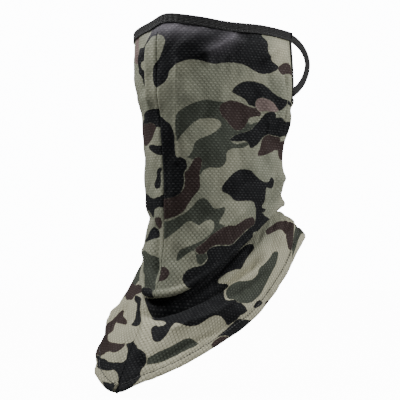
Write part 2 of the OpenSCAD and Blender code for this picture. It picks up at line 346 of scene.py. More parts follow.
def lay_map(mesh, u, v):
    """Keeps each vertex's place on the flat cloth or tape, from millimetres, as the map "cloth"."""
    corners = np.zeros(len(mesh.loops), int)
    mesh.loops.foreach_get("vertex_index", corners)
    places = (np.stack([u, v], axis=1)[corners] * MM).astype(np.float32)
    mesh.uv_layers.new(name="cloth").data.foreach_set("uv", places.ravel())


# ---------------------------------------------------------------- materials

def srgb(code):
    """A linear colour from a hex code."""
    values = [int(code[k:k + 2], 16) / 255 for k in (1, 3, 5)]
    return [v / 12.92 if v <= 0.04045 else ((v + 0.055) / 1.055) ** 2.4 for v in values] + [1]


class Shader:
    """A node material, with short ways to add and join its nodes."""

    def __init__(self, name, **surface):
        self.material = bpy.data.materials.new(name)
        self.material.use_nodes = True
        self.nodes = self.material.node_tree.nodes
        self.links = self.material.node_tree.links
        self.surface = self.nodes["Principled BSDF"]
        for socket, value in surface.items():
            self.surface.inputs[socket.replace("_", " ")].default_value = value

    def put(self, socket, value):
        if isinstance(value, bpy.types.NodeSocket):
            self.links.new(value, socket)
        else:
            socket.default_value = value

    def add(self, kind, out=0, settings=None, **inputs):
        node = self.nodes.new("ShaderNode" + kind)
        for key, value in (settings or {}).items():
            setattr(node, key, value)
        for key, value in inputs.items():
            self.put(node.inputs[key.replace("_", " ")], value)
        return node.outputs[out]

    def math(self, operation, a, b=0.0):
        node = self.nodes.new("ShaderNodeMath")
        node.operation = operation
        for socket, value in zip(node.inputs, (a, b)):
            self.put(socket, value)
        return node.outputs[0]

    def radius(self, a, b):
        """Distance of (a, b) from (0, 0)."""
        square_a, square_b = self.math("MULTIPLY", a, a), self.math("MULTIPLY", b, b)
        return self.math("SQRT", self.math("ADD", square_a, square_b))

    def step(self, value, low, high, to_low=0.0, to_high=1.0):
        """A smooth change from to_low to to_high, as the value goes from low to high."""
        return self.add("MapRange", settings={"interpolation_type": "SMOOTHSTEP"}, Value=value,
                        From_Min=low, From_Max=high, To_Min=to_low, To_Max=to_high)

    def mix(self, factor, a, b, blend="MIX"):
        node = self.nodes.new("ShaderNodeMix")
        node.data_type = "RGBA"
        node.blend_type = blend
        self.put(node.inputs["Factor"], factor)
        self.put(node.inputs[6], a)
        self.put(node.inputs[7], b)
        return node.outputs[2]

    def noise(self, vector, scale, detail=2.0):
        return self.add("TexNoise", Vector=vector, Scale=scale, Detail=detail)

    def vertex_value(self, name):
        return self.add("Attribute", out=2, settings={"attribute_name": name})

    def cloth_map(self):
        """The place on the flat cloth, and its parts along and down, all in metres."""
        place = self.add("UVMap", settings={"uv_map": "cloth"})
        axes = self.nodes.new("ShaderNodeSeparateXYZ")
        self.put(axes.inputs[0], place)
        return place, axes.outputs[0], axes.outputs[1]

    def colour(self, value):
        self.put(self.surface.inputs["Base Color"], value)

    def bump(self, height, distance):
        self.put(self.surface.inputs["Normal"], self.add("Bump", Distance=distance, Height=height))


# PAINTED_SHEEN_GREY is a painted sheen, laid over the print where the cloth catches the light
SAGE, CREAM, PAINTED_SHEEN_GREY = "#77796a", "#a5a28c", "#8f8a92"
DYES = {"olive": "#3d4139", "brown": "#352b29", "pink": "#6f615d", "black": "#151618"}
BLACK = [0, 0, 0, 1]
KNIT_ROW, KNIT_COLUMN = 2.45, 4.4        # pitch of the knit's raised dashes, down and along
PRINT_BLEED = 0.8                        # how far the print's edges stray with the yarn


def grey(value):
    return [value, value, value, 1]


def printed_colour(shader, cloth, inner):
    """The print: the ground turning from sage to cream, partly a fade and partly painted light on the bib,
    and the four dyes over it.
    """
    wobble = shader.math("SUBTRACT", shader.noise(cloth, 260.0, 3.0), 0.5)
    edge = shader.math("MULTIPLY", wobble, 2 * PRINT_BLEED * MM)
    broad = shader.noise(cloth, 22.0)
    tone = shader.mix(shader.step(broad, 0.35, 0.7, 0.0, 0.25), srgb(SAGE), srgb(CREAM))
    # cream where the ground has faded, and on the bib also painted light
    ground = tone = shader.mix(shader.vertex_value("pale_and_painted_light"), tone, srgb(CREAM))
    for layer, code in DYES.items():
        field = shader.math("ADD", shader.vertex_value(layer), edge)
        tone = shader.mix(shader.step(field, -0.4 * MM, 0.4 * MM), tone, srgb(code))
    return shader.mix(0.6, tone, ground) if inner else tone


def knit_material(name, inner=False):
    """Bird's-eye knit: staggered rows of short raised dashes with pores between, and the print."""
    shader = Shader(name, Roughness=0.65, Sheen_Weight=0.015, Sheen_Roughness=0.35,
                    Specular_IOR_Level=0.07)
    cloth, u, v = shader.cloth_map()
    row = shader.math("ADD", shader.math("DIVIDE", v, KNIT_ROW * MM), 100.0)
    odd = shader.math("MODULO", shader.math("FLOOR", row), 2.0)
    column = shader.math("ADD", shader.math("DIVIDE", u, KNIT_COLUMN * MM), 100.0)
    column = shader.math("ADD", column, shader.math("MULTIPLY", odd, 0.5))
    across = shader.math("SUBTRACT", shader.math("FRACT", column), 0.5)
    down = shader.math("SUBTRACT", shader.math("FRACT", row), 0.5)
    far = shader.radius(shader.math("DIVIDE", across, 0.36), shader.math("DIVIDE", down, 0.22))
    dash = shader.step(far, 1.3, 0.5)
    beside = shader.radius(shader.math("SUBTRACT", shader.math("ABSOLUTE", across), 0.5),
                           shader.math("MULTIPLY", down, 0.55))
    pore = shader.step(beside, 0.24, 0.1)
    groove = shader.step(shader.math("ABSOLUTE", down), 0.3, 0.5, 0.0, 0.16)

    tone = printed_colour(shader, cloth, inner)
    fleck = shader.step(shader.noise(cloth, 140.0), 0.4, 0.62)
    # painted sheen: the print is greyed toward mauve under the nose tape and along the slanting fold
    worn = shader.math("MULTIPLY", shader.vertex_value("worn"), 0.36)
    tone = shader.mix(worn, tone, srgb(PAINTED_SHEEN_GREY))
    open_knit = shader.step(v, 0.12, 0.26, 0.1, 0.5)         # the pores gape lower down
    open_knit = shader.math("MULTIPLY", open_knit, shader.step(fleck, 0, 1, 0.6, 1.0))
    holes = shader.math("MULTIPLY", pore, open_knit)
    # painted shade: the pores and the grooves between the rows are darkened toward black
    tone = shader.mix(shader.math("MAXIMUM", holes, groove), tone, BLACK)
    # painted highlight: the raised dashes are lightened
    shine = shader.math("MULTIPLY", dash, shader.step(fleck, 0, 1, 0.3, 1.0))
    tone = shader.mix(shine, tone, grey(1.45), "MULTIPLY")
    shader.colour(shader.mix(shine, tone, grey(0.026), "ADD"))
    hills = shader.math("SUBTRACT", dash, pore)
    grain = shader.math("MULTIPLY", shader.noise(cloth, 2600.0, 1.0), 0.3)
    shader.bump(shader.math("ADD", hills, grain), 0.13 * MM)
    return shader.material


def tape_material(name, code):
    """Black ribbed elastic: ribs along its length and a fine crosswise weave."""
    shader = Shader(name, Roughness=0.6, Sheen_Weight=0.06, Sheen_Roughness=0.4, Specular_IOR_Level=0.3)
    tape, u, v = shader.cloth_map()
    full_turn = 2 * np.pi / MM
    weft = shader.math("SINE", shader.math("MULTIPLY", u, full_turn / 0.9))
    rib = shader.math("SINE", shader.math("MULTIPLY", v, full_turn / RIB_PITCH))
    fuzz = shader.noise(tape, 900.0, 3.0)
    tone = shader.mix(shader.step(fuzz, 0.35, 0.8), srgb(code), srgb("#161617"))
    # painted highlight: the crests of the ribs are lightened
    shader.colour(shader.mix(shader.step(rib, 0.2, 1.0, 0.0, 0.3), tone, srgb("#1f1f20")))
    weave = shader.math("ADD", shader.math("MULTIPLY", weft, 0.35), rib)
    shader.bump(shader.math("ADD", weave, shader.math("MULTIPLY", fuzz, 0.5)), 0.18 * MM)
    return shader.material


def thread_material(name, code):
    """Twisted polyester thread with a soft gloss."""
    shader = Shader(name, Roughness=0.5, Sheen_Weight=0.3)
    place = shader.add("TexCoord", out=3)
    twist = shader.add("TexWave", settings={"wave_type": "BANDS", "bands_direction": "DIAGONAL"},
                       Vector=place, Scale=900.0, Distortion=1.0)
    lit = [min(1, c * 1.8 + 0.01) for c in srgb(code)[:3]] + [1]
    shader.colour(shader.mix(twist, srgb(code), lit))
    shader.bump(twist, 0.08 * MM)
    return shader.material


def floor_material():
    """Matt paper with a faint grain: bright to the camera, but throwing little light back up."""
    shader = Shader("floor_paper", Roughness=0.9)
    grain = shader.noise(shader.add("TexCoord", out=3), 30.0)
    shader.colour(shader.mix(grain, grey(0.3), grey(0.34)))
    shader.put(shader.surface.inputs["Emission Color"], grey(1))
    seen = shader.math("MULTIPLY", shader.add("LightPath"), PAPER_GLOW)
    shader.put(shader.surface.inputs["Emission Strength"], seen)
    return shader.material


# ---------------------------------------------------------------- the print

# Blobs of the print as (colour, outline), in mm along the cloth from the front seam and down it
# from the rim's peak; one olive band on the left bib is painted shade. A later blob lies over the earlier
# ones, and "sage" shows the ground again.
LEFT_TUBE = [
    ("black", [(-8, 0), (50, 0), (104, 0), (106, 18), (112, 24), (114, 35), (121, 42), (131, 46), (130, 50),
               (121, 54), (110, 55.5), (100, 53.5), (90, 49.5), (78, 47.5), (65, 48), (57, 49.5),
               (48, 48.5), (36, 46), (26, 47.5), (18, 52), (13, 57), (11, 64), (6, 69), (0, 72), (-8, 74)]),
    ("sage", [(-8, 22), (1, 22), (6, 24.5), (8, 29), (6, 36), (3, 43), (0, 47), (-8, 50)]),
    ("brown", [(131, 49), (137, 44), (147, 42), (156, 47), (160, 52), (152, 53.5), (143, 53), (136, 54.5)]),
    ("olive", [(16, 122), (16, 110), (18, 98), (23, 93), (31, 88.5), (40, 85), (50, 83.5), (62, 84.5),
               (75, 84), (90, 90), (97, 99), (108, 98), (112, 93), (114, 96), (108, 103), (98, 110),
               (88, 114), (76, 118), (69, 121), (76, 124), (86, 122), (90, 124), (82, 127.5), (71, 128.5),
               (65, 132), (64, 139), (61, 145), (55, 147.5), (46, 147.5), (40, 150), (36, 155), (33, 150),
               (30, 140), (22, 138), (16, 137)]),
    ("sage", [(14, 137), (14.5, 128), (17, 122), (22, 116), (29, 109), (36, 103.5), (44, 101), (53, 100.5),
              (59, 103), (60, 107), (55, 112), (47, 116.5), (39, 120), (34, 123), (31, 130), (27, 136),
              (24, 138), (19, 137)]),
    ("black", [(75.5, 74), (80, 69), (87, 65), (95, 63.5), (105, 64), (113, 66), (119, 69.5), (125, 74.5),
               (134, 77.5), (145, 78), (166, 79), (166, 83), (150, 82), (138, 83), (132, 87), (127, 89),
               (115, 88), (104, 88), (96, 87), (92.5, 85), (89, 81), (84, 78.5), (79, 77)]),
    ("brown", [(62, 87), (68, 84), (76, 83), (84, 84.5), (92, 87), (98, 88.5), (104, 88), (108, 92),
               (106, 96), (100, 96.5), (94, 99), (89, 104), (86, 108), (80, 111), (73, 109), (68, 104),
               (62, 98), (60, 92)]),
    ("pink", [(101, 86), (103, 81), (108, 78.5), (114, 79), (120, 81.5), (125, 86), (127, 89), (124, 90.5),
              (116, 91), (108, 92), (104, 91)]),
    ("sage", [(107, 92), (112, 90.5), (115, 91.5), (112, 95), (107, 99.5), (105, 97)]),
    ("sage", [(92, 103), (92, 99), (97, 97), (103, 97.5), (107, 99), (103, 101), (97, 103), (93, 105)]),
    ("black", [(69, 121), (71, 118), (77, 115), (85, 112.5), (93, 109.5), (100, 104), (107, 97),
               (113, 91.5), (120, 90.5), (124, 93), (124, 96), (131, 95.5), (140, 98.5), (152, 98),
               (166, 99), (166, 112), (152, 112), (140, 112.5), (131, 115), (123, 114), (117, 112.5),
               (110, 114.5), (106, 117), (102, 121), (98, 124), (94, 126.5), (90.5, 127), (89, 123),
               (85, 120.5), (78, 121.5)]),
    ("brown", [(100, 132), (104, 127), (105, 121), (108, 116.5), (116, 113), (125, 114), (134, 115.5),
               (134, 126), (128, 127.5), (121, 129.5), (114, 132.5), (107, 134), (101, 134)]),
    ("brown", [(134, 120), (142, 117.5), (155, 116), (165, 118), (165, 130), (158, 136), (148, 137),
               (138, 135), (134, 130)]),
    ("black", [(-8, 97), (1, 99), (6, 103), (11, 107), (14, 115), (14, 126), (14.5, 137), (20, 138),
               (24, 142), (24, 148), (21, 153), (21, 162), (19, 169), (15, 174), (8, 176.5), (0, 177),
               (-8, 177)]),
    ("brown", [(25, 150), (29, 143), (33, 138), (38, 139), (38, 146), (36, 152), (36, 160), (36, 167),
               (33, 171), (29, 176), (24, 183), (20, 189), (14, 193), (6, 195.5), (-8, 198), (-8, 176.5),
               (0, 177), (9, 176), (16, 173), (20, 168), (22, 160), (22, 152)]),
    ("olive", [(-8, 200.5), (4, 198.5), (14, 194.5), (23, 189.5), (29, 184), (35, 178), (38.5, 176.5),
               (43, 178), (48, 184), (53, 186.5), (61, 184.5), (61, 189), (57, 196), (56, 201), (66, 202),
               (68, 206), (56, 211), (47, 218), (40, 225), (46, 230), (47, 234), (42, 239.5), (37, 237.5),
               (34, 231), (31, 226.5), (24, 230), (17, 235.5), (10, 236), (-8, 236)]),
    ("sage", [(-8, 219), (2, 215.5), (9, 210.5), (16, 205), (22, 199.5), (27, 198.3), (31, 200.5),
              (35, 202.3), (40, 199), (45, 197), (49.5, 199), (50, 205), (46, 211), (39, 216.5), (29, 221),
              (20, 224.5), (15.5, 229), (15, 235), (10, 240), (-8, 245)]),
    ("brown", [(33, 224), (40, 219), (46, 213), (53, 208), (60, 204), (68, 202.5), (76, 202), (82, 199.5),
               (88, 196), (95, 194.5), (100, 194), (104, 197), (104, 201), (98, 204), (91, 208), (86, 213),
               (80, 217), (77, 220), (70, 221), (58, 221), (50, 223), (45, 228), (38, 230), (33, 227)]),
    ("black", [(58.5, 168), (60, 163), (66, 156.5), (72, 151.5), (79, 148.5), (86, 148), (92, 149.5),
               (98, 153.5), (105, 157.5), (112, 159.5), (117, 158.5), (119, 155), (122, 154.5),
               (124.5, 158), (124, 163), (120, 165.5), (114, 165), (113, 172), (112.5, 179), (111, 183),
               (115, 185), (120, 185.5), (119, 188), (114, 189), (120, 192), (127, 196), (126, 201),
               (121, 206), (114, 208), (105, 210), (104, 220), (96, 234), (75, 250), (58, 264), (44, 274),
               (36, 276), (38, 268), (33, 263.5), (27, 258), (24, 252), (26, 246.5), (32, 242.5), (40, 241),
               (46, 238), (47.5, 233), (45, 228), (50, 223.5), (60, 221.5), (72, 221.5), (79, 219),
               (85, 214), (91, 209), (98, 204.5), (104, 201), (105, 196), (103, 189), (100, 183), (96, 179),
               (89, 178), (80, 178.5), (73, 178.5), (69, 174.5), (65, 172), (61, 171)]),
    ("brown", [(-8, 240), (0, 241), (7, 243), (10.5, 247), (9, 252), (4, 255), (0, 255.5), (-8, 258)]),
]

LEFT_BIB = [
    ("black", [(-8, 296), (20, 292), (50, 276), (80, 256), (92, 250), (104, 250), (110, 256), (104, 262),
               (100, 270), (96, 280), (90, 284), (85, 290), (82, 300), (88, 312), (97, 315.5), (106, 315),
               (115, 318), (122, 322.5), (124, 325), (117, 329), (111, 334), (106, 339), (98, 337),
               (90, 334), (83, 334), (77, 336), (71, 339.5), (65, 343.5), (58, 345.5), (50, 346),
               (42, 343.5), (36, 340.5), (34, 345), (33, 353), (29, 360.5), (25, 362.5), (20, 359.5),
               (15, 352), (12, 345.5), (14, 341), (19, 342.5), (24, 342), (24, 338.5), (19, 335), (10, 333),
               (3, 329.5), (-8, 326)]),
    ("olive", [(92, 294), (104, 293), (118, 291), (128, 285), (129, 278), (136, 274), (144, 268),
               (150, 262), (158, 264), (158, 274), (152, 284), (144, 298), (137, 308), (124, 316),
               (106, 316), (92, 312), (86, 303)]),
    ("sage", [(64, 286), (76, 280), (90, 277), (104, 276), (118, 275), (127, 278), (128, 285), (118, 291),
              (104, 293), (90, 291), (76, 290), (66, 290)]),
    ("brown", [(125, 238), (133, 234), (145, 231), (160, 231), (175, 233), (190, 240), (190, 262),
               (181, 262), (176, 256), (170, 249), (163, 242), (152, 240), (140, 241), (130, 243)]),
    ("black", [(113, 334), (120, 333), (128, 333), (137, 333), (133, 338), (126, 344), (118, 350),
               (112, 354), (106, 352), (100, 352), (93, 353.5), (99, 348), (105, 342)]),
    ("brown", [(88, 362), (93, 356), (99, 353), (107, 353), (107, 356), (100, 362), (93, 366)]),
    ("black", [(131, 320), (135, 314), (140, 312), (146, 313), (143, 317), (137, 320)]),
    ("brown", [(149, 318), (151, 313), (157, 312), (160, 315), (155, 321)]),
    # painted shade: an olive band standing in for the shade in the bib's fold valley
    ("olive", [(22, 380), (30, 373), (40, 367), (50, 360), (58, 357), (66, 358), (73, 361), (68, 366),
               (58, 371), (48, 376), (38, 381), (29, 385), (24, 385)]),
    ("black", [(-8, 358), (0, 361), (6, 366), (11, 371), (17, 374), (21, 378), (23, 384), (21, 390),
               (21, 396), (23, 400), (20, 406), (12, 412), (-8, 418)]),
]

RIGHT_TUBE = [
    ("black", [(-8, 0), (16, 0), (12, 14), (11, 20), (14, 27), (21, 31), (30, 32), (33, 40), (32, 48),
               (28, 55), (23, 60), (21, 68), (19, 72), (16, 66), (18, 58), (23, 51), (23, 46), (18, 43),
               (14, 37), (11, 30), (6, 24), (-8, 21)]),
    ("black", [(-8, 45), (0, 48), (4, 55), (4.5, 62), (2, 70), (-8, 75)]),
    ("pink", [(33, 18), (46, 18), (46, 42), (38, 44), (34, 34), (37, 26)]),
    ("black", [(-8, 93), (2, 92), (12, 92), (22, 94), (32, 97), (38, 101), (42, 108), (30, 106), (22, 107),
               (14, 106), (8, 108), (3, 109), (-8, 108)]),
    ("brown", [(5, 109), (12, 104.5), (22, 105), (32, 104), (42, 108), (44, 118), (36, 124), (26, 125),
               (18, 122), (11, 117)]),
    ("black", [(-8, 126), (4, 126.5), (14, 125), (22, 126.5), (17, 130), (10, 133.5), (3, 135.5),
               (-8, 135)]),
    ("black", [(1, 148), (5, 147.5), (8, 150), (9, 156), (12, 161), (12.5, 165), (8, 167.5), (4, 166),
               (3, 161), (3, 153)]),
    ("black", [(-8, 172), (0, 173), (6, 175), (14, 176.5), (22, 175), (30, 172), (42, 171), (42, 184),
               (30, 188), (24, 194), (20, 194), (16, 188), (10, 186), (4, 185), (-8, 185)]),
    ("brown", [(3, 196), (8, 194.5), (16, 195), (18, 198), (15, 204), (8, 205.5), (3, 204)]),
    ("black", [(13, 213), (15, 207), (20, 203.5), (26, 207), (34, 212), (42, 215), (42, 218), (30, 217.5),
               (22, 216)]),
    ("olive", [(6, 234), (18, 230), (32, 226), (44, 232), (40, 244), (28, 250), (20, 262), (14, 276),
               (4, 276), (2, 262), (7, 246)]),
    ("black", [(2, 270), (8, 262), (18, 262), (24, 266), (18, 272), (10, 277), (2, 279)]),
    ("brown", [(22, 270), (23, 264), (28, 261), (33, 263), (31, 269)]),
]

RIGHT_BIB = [
    ("black", [(-8, 300), (10, 301), (25, 302), (26, 304), (18, 309), (8, 316), (2, 320), (-8, 322)]),
    ("olive", [(74, 281), (90, 276), (130, 274), (130, 288), (100, 289), (74, 289)]),
    ("brown", [(42, 298), (56, 295), (70, 298), (99, 297), (112, 298), (112, 313), (78, 313), (66, 316),
               (56, 315), (47, 313), (48, 307), (42, 301)]),
    ("black", [(2, 341), (10, 329), (22, 317), (28, 309), (33, 306), (43, 306), (48, 308), (40, 313),
               (30, 315), (22, 325), (16, 335), (15, 341)]),
    ("brown", [(31, 341), (31, 337), (40, 334), (48, 333), (58, 327), (59, 330), (57, 337), (55, 345),
               (58, 353), (72, 355), (90, 360), (80, 378), (62, 380), (47, 379), (30, 375), (20, 375),
               (14, 372), (10, 363), (16, 364), (30, 365), (40, 364), (43, 359), (41, 353), (44, 349),
               (48, 343), (42, 343)]),
    ("black", [(-8, 359), (4, 361), (10, 363), (5, 367), (3, 373), (2, 379), (7, 383), (20, 385), (30, 383),
               (44, 382), (58, 380), (70, 380), (48, 388), (38, 393), (20, 394), (10, 392), (4, 396),
               (0, 403), (-8, 403)]),
    ("black", [(-8, 403), (2, 403), (8, 405), (19, 405), (14, 410), (4, 416), (-8, 418)]),
]


def shifted(blobs, across, down):
    """The same blobs further along the cloth, as the print repeats."""
    return [(colour, [(u + across, v + down) for u, v in points]) for colour, points in blobs]


# Where the photo shows nothing the print is the same blobs again, moved along
REPEAT = LEFT_TUBE[3:13]
PRINTS = {
    "left": shifted(REPEAT, 152, 6) + shifted(REPEAT[:6], 175, 150) + LEFT_TUBE + LEFT_BIB,
    "right": shifted(LEFT_TUBE[17:20], 120, -60) + shifted(REPEAT, 34, -34) + shifted(REPEAT, 160, 60)
    + shifted(REPEAT, 36, 150) + shifted(LEFT_TUBE[17:19], 46, -14) + RIGHT_TUBE + RIGHT_BIB,
}


def fade_and_painted_light(u, v):
    """How far the ground turns from sage to cream: beside the ear a cream patch, on the bib partly a fade
    and partly painted light, brighter where the bib faces up.
    """
    ear = np.exp(-((u - 135) / 22) ** 2 - ((v - 33) / 16) ** 2)
    return np.maximum(0.85 * smooth((v + 0.5 * u - 300) / 35), 0.9 * ear)


def painted_sheen(u, v):
    """Painted sheen: a mauve-grey highlight painted on the print under the nose tape and along the slanting
    fold.
    """
    nose = np.exp(-((u - 14) / 34) ** 2 - ((v - 12) / 11) ** 2)
    fold = crease(u, v, 7, [(40, 41), (58, 33), (74, 20), (86, 10)])
    return np.maximum(nose, 0.8 * fold)


def closed_curve(points, per_edge=5):
    """A closed smooth outline through points."""
    p = np.array(points, float)
    before, after, beyond = np.roll(p, 1, 0), np.roll(p, -1, 0), np.roll(p, -2, 0)
    t = np.arange(per_edge)[None, :, None] / per_edge
    a, b, c, d = (q[:, None, :] for q in (before, p, after, beyond))
    line = 0.5 * (2 * b + (c - a) * t + (2 * a - 5 * b + 4 * c - d) * t ** 2
                  + (3 * b - a - 3 * c + d) * t ** 3)
    return line.reshape(-1, 2)


def depth_inside(u, v, points):
    """How far each (u, v) is inside a closed outline, in mm; negative outside it."""
    line = closed_curve(points)
    reach = 12
    near = ((u > line[:, 0].min() - reach) & (u < line[:, 0].max() + reach)
            & (v > line[:, 1].min() - reach) & (v < line[:, 1].max() + reach))
    result = np.full(u.shape, -float(reach))
    un, vn = u[near], v[near]
    inside = np.zeros(un.shape, bool)
    for (u0, v0), (u1, v1) in zip(line, np.roll(line, -1, 0)):
        crosses = (v0 > vn) != (v1 > vn)
        height = v1 - v0 if v1 != v0 else 1e-9
        inside ^= crosses & (un < (u1 - u0) * (vn - v0) / height + u0)
    distance = np.minimum(nearest_on_line(un, vn, np.vstack([line, line[:1]]))[0], reach)
    result[near] = np.where(inside, distance, -distance)
    return result


def paint(mesh, u, v, blobs):
    """Stores how far inside each colour of the print every vertex is, in metres."""
    fields = {name: np.full(u.shape, -12.0) for name in DYES}
    for colour, points in blobs:
        blob = depth_inside(u, v, points)
        for name, field in fields.items():
            fields[name] = np.maximum(field, blob) if name == colour else np.minimum(field, -blob)
    for name, field in fields.items():
        store(mesh, name, field * MM)


# ---------------------------------------------------------------- the panels

FRONT_SHARE, SIDE_SHARE = 0.5, 0.66
# Columns of each panel's grid, as shares of the way from the front seam to the back seam; the first
# part ends under the nose tape, the second under the side edge's tape, the third under the nape's
SHARES = np.concatenate([np.linspace(0, FRONT_SHARE, 100),
                         np.linspace(FRONT_SHARE, SIDE_SHARE, 27)[1:],
                         np.linspace(SIDE_SHARE, 1, 50)[1:]])
TUBE_ROWS = np.linspace(0, 1, 130) ** 0.97
FOLD_ROWS = 30
BIB_ROWS = 60
TUCK = 2.6                 # how far the panel's top edge lies inside the folded tape
HEM_W = 8                  # distance of the hem's stitches from the edge
HEM_TURN = 0.7             # how round the hem's edge is
HEM_LAYER = 1.5            # depth of the hem's turned-in layer behind the face
CLOTH_T = 0.7
SEAM_GAP = 0.3             # least width left between the two panels' faces
SEAM_ALLOWANCE = 5


def panel_top(share, side):
    """The panel's top edge as angle and depth, inside the tapes."""
    t = np.clip(share / FRONT_SHARE, 0, 1)
    corner = back_edge(np.array(0.0), TUCK)[0]
    front_angle = corner * t
    front_depth = curve(RIM, side * front_angle) + TUCK
    edge = np.where(share <= SIDE_SHARE, (share - FRONT_SHARE) / (SIDE_SHARE - FRONT_SHARE),
                    1 + (share - SIDE_SHARE) / (1 - SIDE_SHARE))
    side_angle, side_depth = back_edge(np.maximum(edge, 0), TUCK)
    front = share <= FRONT_SHARE
    return np.where(front, front_angle, side_angle), np.where(front, front_depth, side_depth)


def panel_surface(side):
    """The panel's face as a grid of points, with its folds, and the place of each in the cloth."""
    low = 180 * SHARES
    top_angle, top_depth = panel_top(SHARES, side)
    t = TUBE_ROWS[None, :]
    angle = mix(top_angle[:, None], low[:, None], 1 - (1 - t) ** 2)
    depth = mix(top_depth[:, None], fold_depth(low)[:, None] - 6, t)
    steps = spline(FOLD_STEPS, FOLD_ROWS)[1:]
    fold = np.stack([fold_point(low, out + 0 * low, down + 0 * low) for out, down in steps], axis=1)
    apron = np.stack([bib(low, share + 0 * low) for share in np.linspace(0, 1, BIB_ROWS + 1)[1:]], axis=1)
    grid = np.concatenate([tube(angle, depth), fold, apron], axis=1)
    lengths = np.linalg.norm(np.diff(grid, axis=1), axis=-1)
    last = len(TUBE_ROWS) - 1
    beyond = depth[:, -1:] + np.cumsum(lengths[:, last:], axis=1)
    down = np.concatenate([depth, beyond], axis=1)
    along = cloth_columns(grid, down)
    from_edge = np.stack([np.linalg.norm(column[:, None] - grid[None, :, 0], axis=-1).min(axis=1)
                          for column in grid])
    height = relief(side * along, down, from_edge + TUCK, down[:, -1:] - down)
    row = np.arange(grid.shape[1])
    height *= smooth((np.abs(row - last - FOLD_ROWS / 2) - FOLD_ROWS / 2) / 10)
    height *= smooth((180 - low) / 12)[:, None]
    normal = grid_normals(grid)
    normal[[0, -1], :, 0] = 0
    return grid + unit(normal) * height[..., None], down, along


def cloth_columns(grid, down):
    """Distance along the cloth from the front seam at each point of the grid."""
    apart = np.linalg.norm(np.diff(grid, axis=0), axis=-1)
    drop = np.diff(down, axis=0)
    return np.concatenate([np.zeros_like(down[:1]),
                           np.cumsum(np.sqrt(np.maximum(apart ** 2 - drop ** 2, 0)), axis=0)])


def turn_hem(grid, down, along):
    """Adds the hem: the edge rounds over and lies back against the inside."""
    normal = grid_normals(grid)
    edge, edge_normal = grid[:, -1], normal[:, -1]
    onward = unit(grid[:, -1] - grid[:, -2])
    rows, downs = [], []
    for turn in np.radians((60, 120)):
        rows.append(edge + HEM_TURN * (onward * np.sin(turn) - edge_normal * (1 - np.cos(turn))))
        downs.append(down[:, -1] + HEM_TURN * turn)
    from_edge = down[:, -1:] - down
    for j in range(2, int((from_edge[0] < HEM_W).sum()) + 1):
        rows.append(grid[:, -j] - normal[:, -j] * HEM_LAYER)
        downs.append(down[:, -1] + from_edge[:, -j] + HEM_LAYER)
    rows = np.stack(rows, axis=1)
    return (np.concatenate([grid, rows], axis=1), np.concatenate([down, np.stack(downs, axis=1)], axis=1),
            np.concatenate([along, np.repeat(along[:, -1:], rows.shape[1], axis=1)], axis=1))


def seam_turn(grid, down, along, first):
    """Adds the seam allowance: columns that turn inward and lie tight against the other panel's."""
    end, way = (0, -1) if first else (-1, 1)
    edge, normal = grid[end], grid_normals(grid)[end]
    reaches = np.array([0.7, 2.5, SEAM_ALLOWANCE])          # the first is the groove that shows
    columns = edge - normal * reaches[:, None, None]
    columns[0, :, 0] = edge[:, 0]
    columns[1:, :, 0] = 0
    parts = [(grid, columns), (down, np.repeat(down[None, end], 3, axis=0)),
             (along, along[end] + way * reaches[:, None])]
    if first:
        return [np.concatenate([added[::-1], values]) for values, added in parts]
    return [np.concatenate([values, added]) for values, added in parts]


def make_panel(side_name, blobs, materials):
    """One printed panel, turned in at its hem and seams and thickened inward."""
    side = SIDES[side_name]
    grid, down, along = panel_surface(side)
    grid[..., 0] = np.maximum(grid[..., 0], SEAM_GAP / 2)
    grid, down, along = turn_hem(grid, down, along)
    grid, down, along = seam_turn(grid, down, along, first=True)
    grid, down, along = seam_turn(grid, down, along, first=False)
    points = grid.reshape(-1, 3) * (side, 1, 1)
    faces = grid_faces(*grid.shape[:2], flip=side > 0)
    piece = add_piece(f"{side_name}_panel_cloth", points, faces, materials, f"{side_name}_panel",
                      "root")
    u, v = along.ravel(), down.ravel()
    paint(piece.data, u, v, blobs)
    store(piece.data, "pale_and_painted_light", fade_and_painted_light(u, v))
    store(piece.data, "worn", painted_sheen(side * u, v))
    lay_map(piece.data, u, v)
    thick = piece.modifiers.new("cloth_thickness", "SOLIDIFY")
    thick.thickness = CLOTH_T * MM
    thick.offset = -1
    thick.material_offset = 1
    thick.use_even_offset = False
    across = np.linalg.norm(np.diff(grid, axis=0), axis=-1).mean(axis=1).sum()
    area = surface_area(grid)
    return grid, down


def hem_line(grid, down):
    """The line of the hem's stitches, and the way out of the cloth along it."""
    rows = len(TUBE_ROWS) + FOLD_ROWS - 1 + BIB_ROWS
    face, depth = grid[3:-3, :rows], down[3:-3, :rows]

    def at(values):
        return np.array([[np.interp(d[-1] - HEM_W, d, column[:, k]) for k in range(3)]
                         for d, column in zip(depth, values)])

    return at(face), unit(at(grid_normals(face)))


def surface_area(grid):
    diagonal = grid[1:, 1:] - grid[:-1, :-1]
    other = grid[1:, :-1] - grid[:-1, 1:]
    return float(np.linalg.norm(np.cross(diagonal, other), axis=-1).sum() / 2)


# ---------------------------------------------------------------- tapes and loops

def sweep_profile(path, down, out, profile):
    """Rings of a profile of (out, down) offsets, carried along a path with its own directions."""
    profile = np.array(profile)
    return path[:, None] + out[:, None] * profile[None, :, :1] + down[:, None] * profile[None, :, 1:]


def folded_tape_profile(width, count=16):
    """Outline of a tape folded over an edge: outer face, round top, inner face, and the slot."""
    drop = np.linspace(width, 1.4, count)
    ribs = 0.13 * np.cos(drop * 2 * np.pi / RIB_PITCH)
    outer = [(1.05 + r, d) for r, d in zip(ribs, drop)]
    top = [(1.1 * np.cos(t), 1.2 - 1.2 * np.sin(t)) for t in np.radians(np.arange(20, 180, 20))]
    inner = [(-1.15, d) for d in drop[::-1]]
    slot = [(-0.75, width), (-0.72, 1.9), (-0.3, 1.4), (0.1, 1.9), (0.12, width)]
    return outer + top + inner + slot


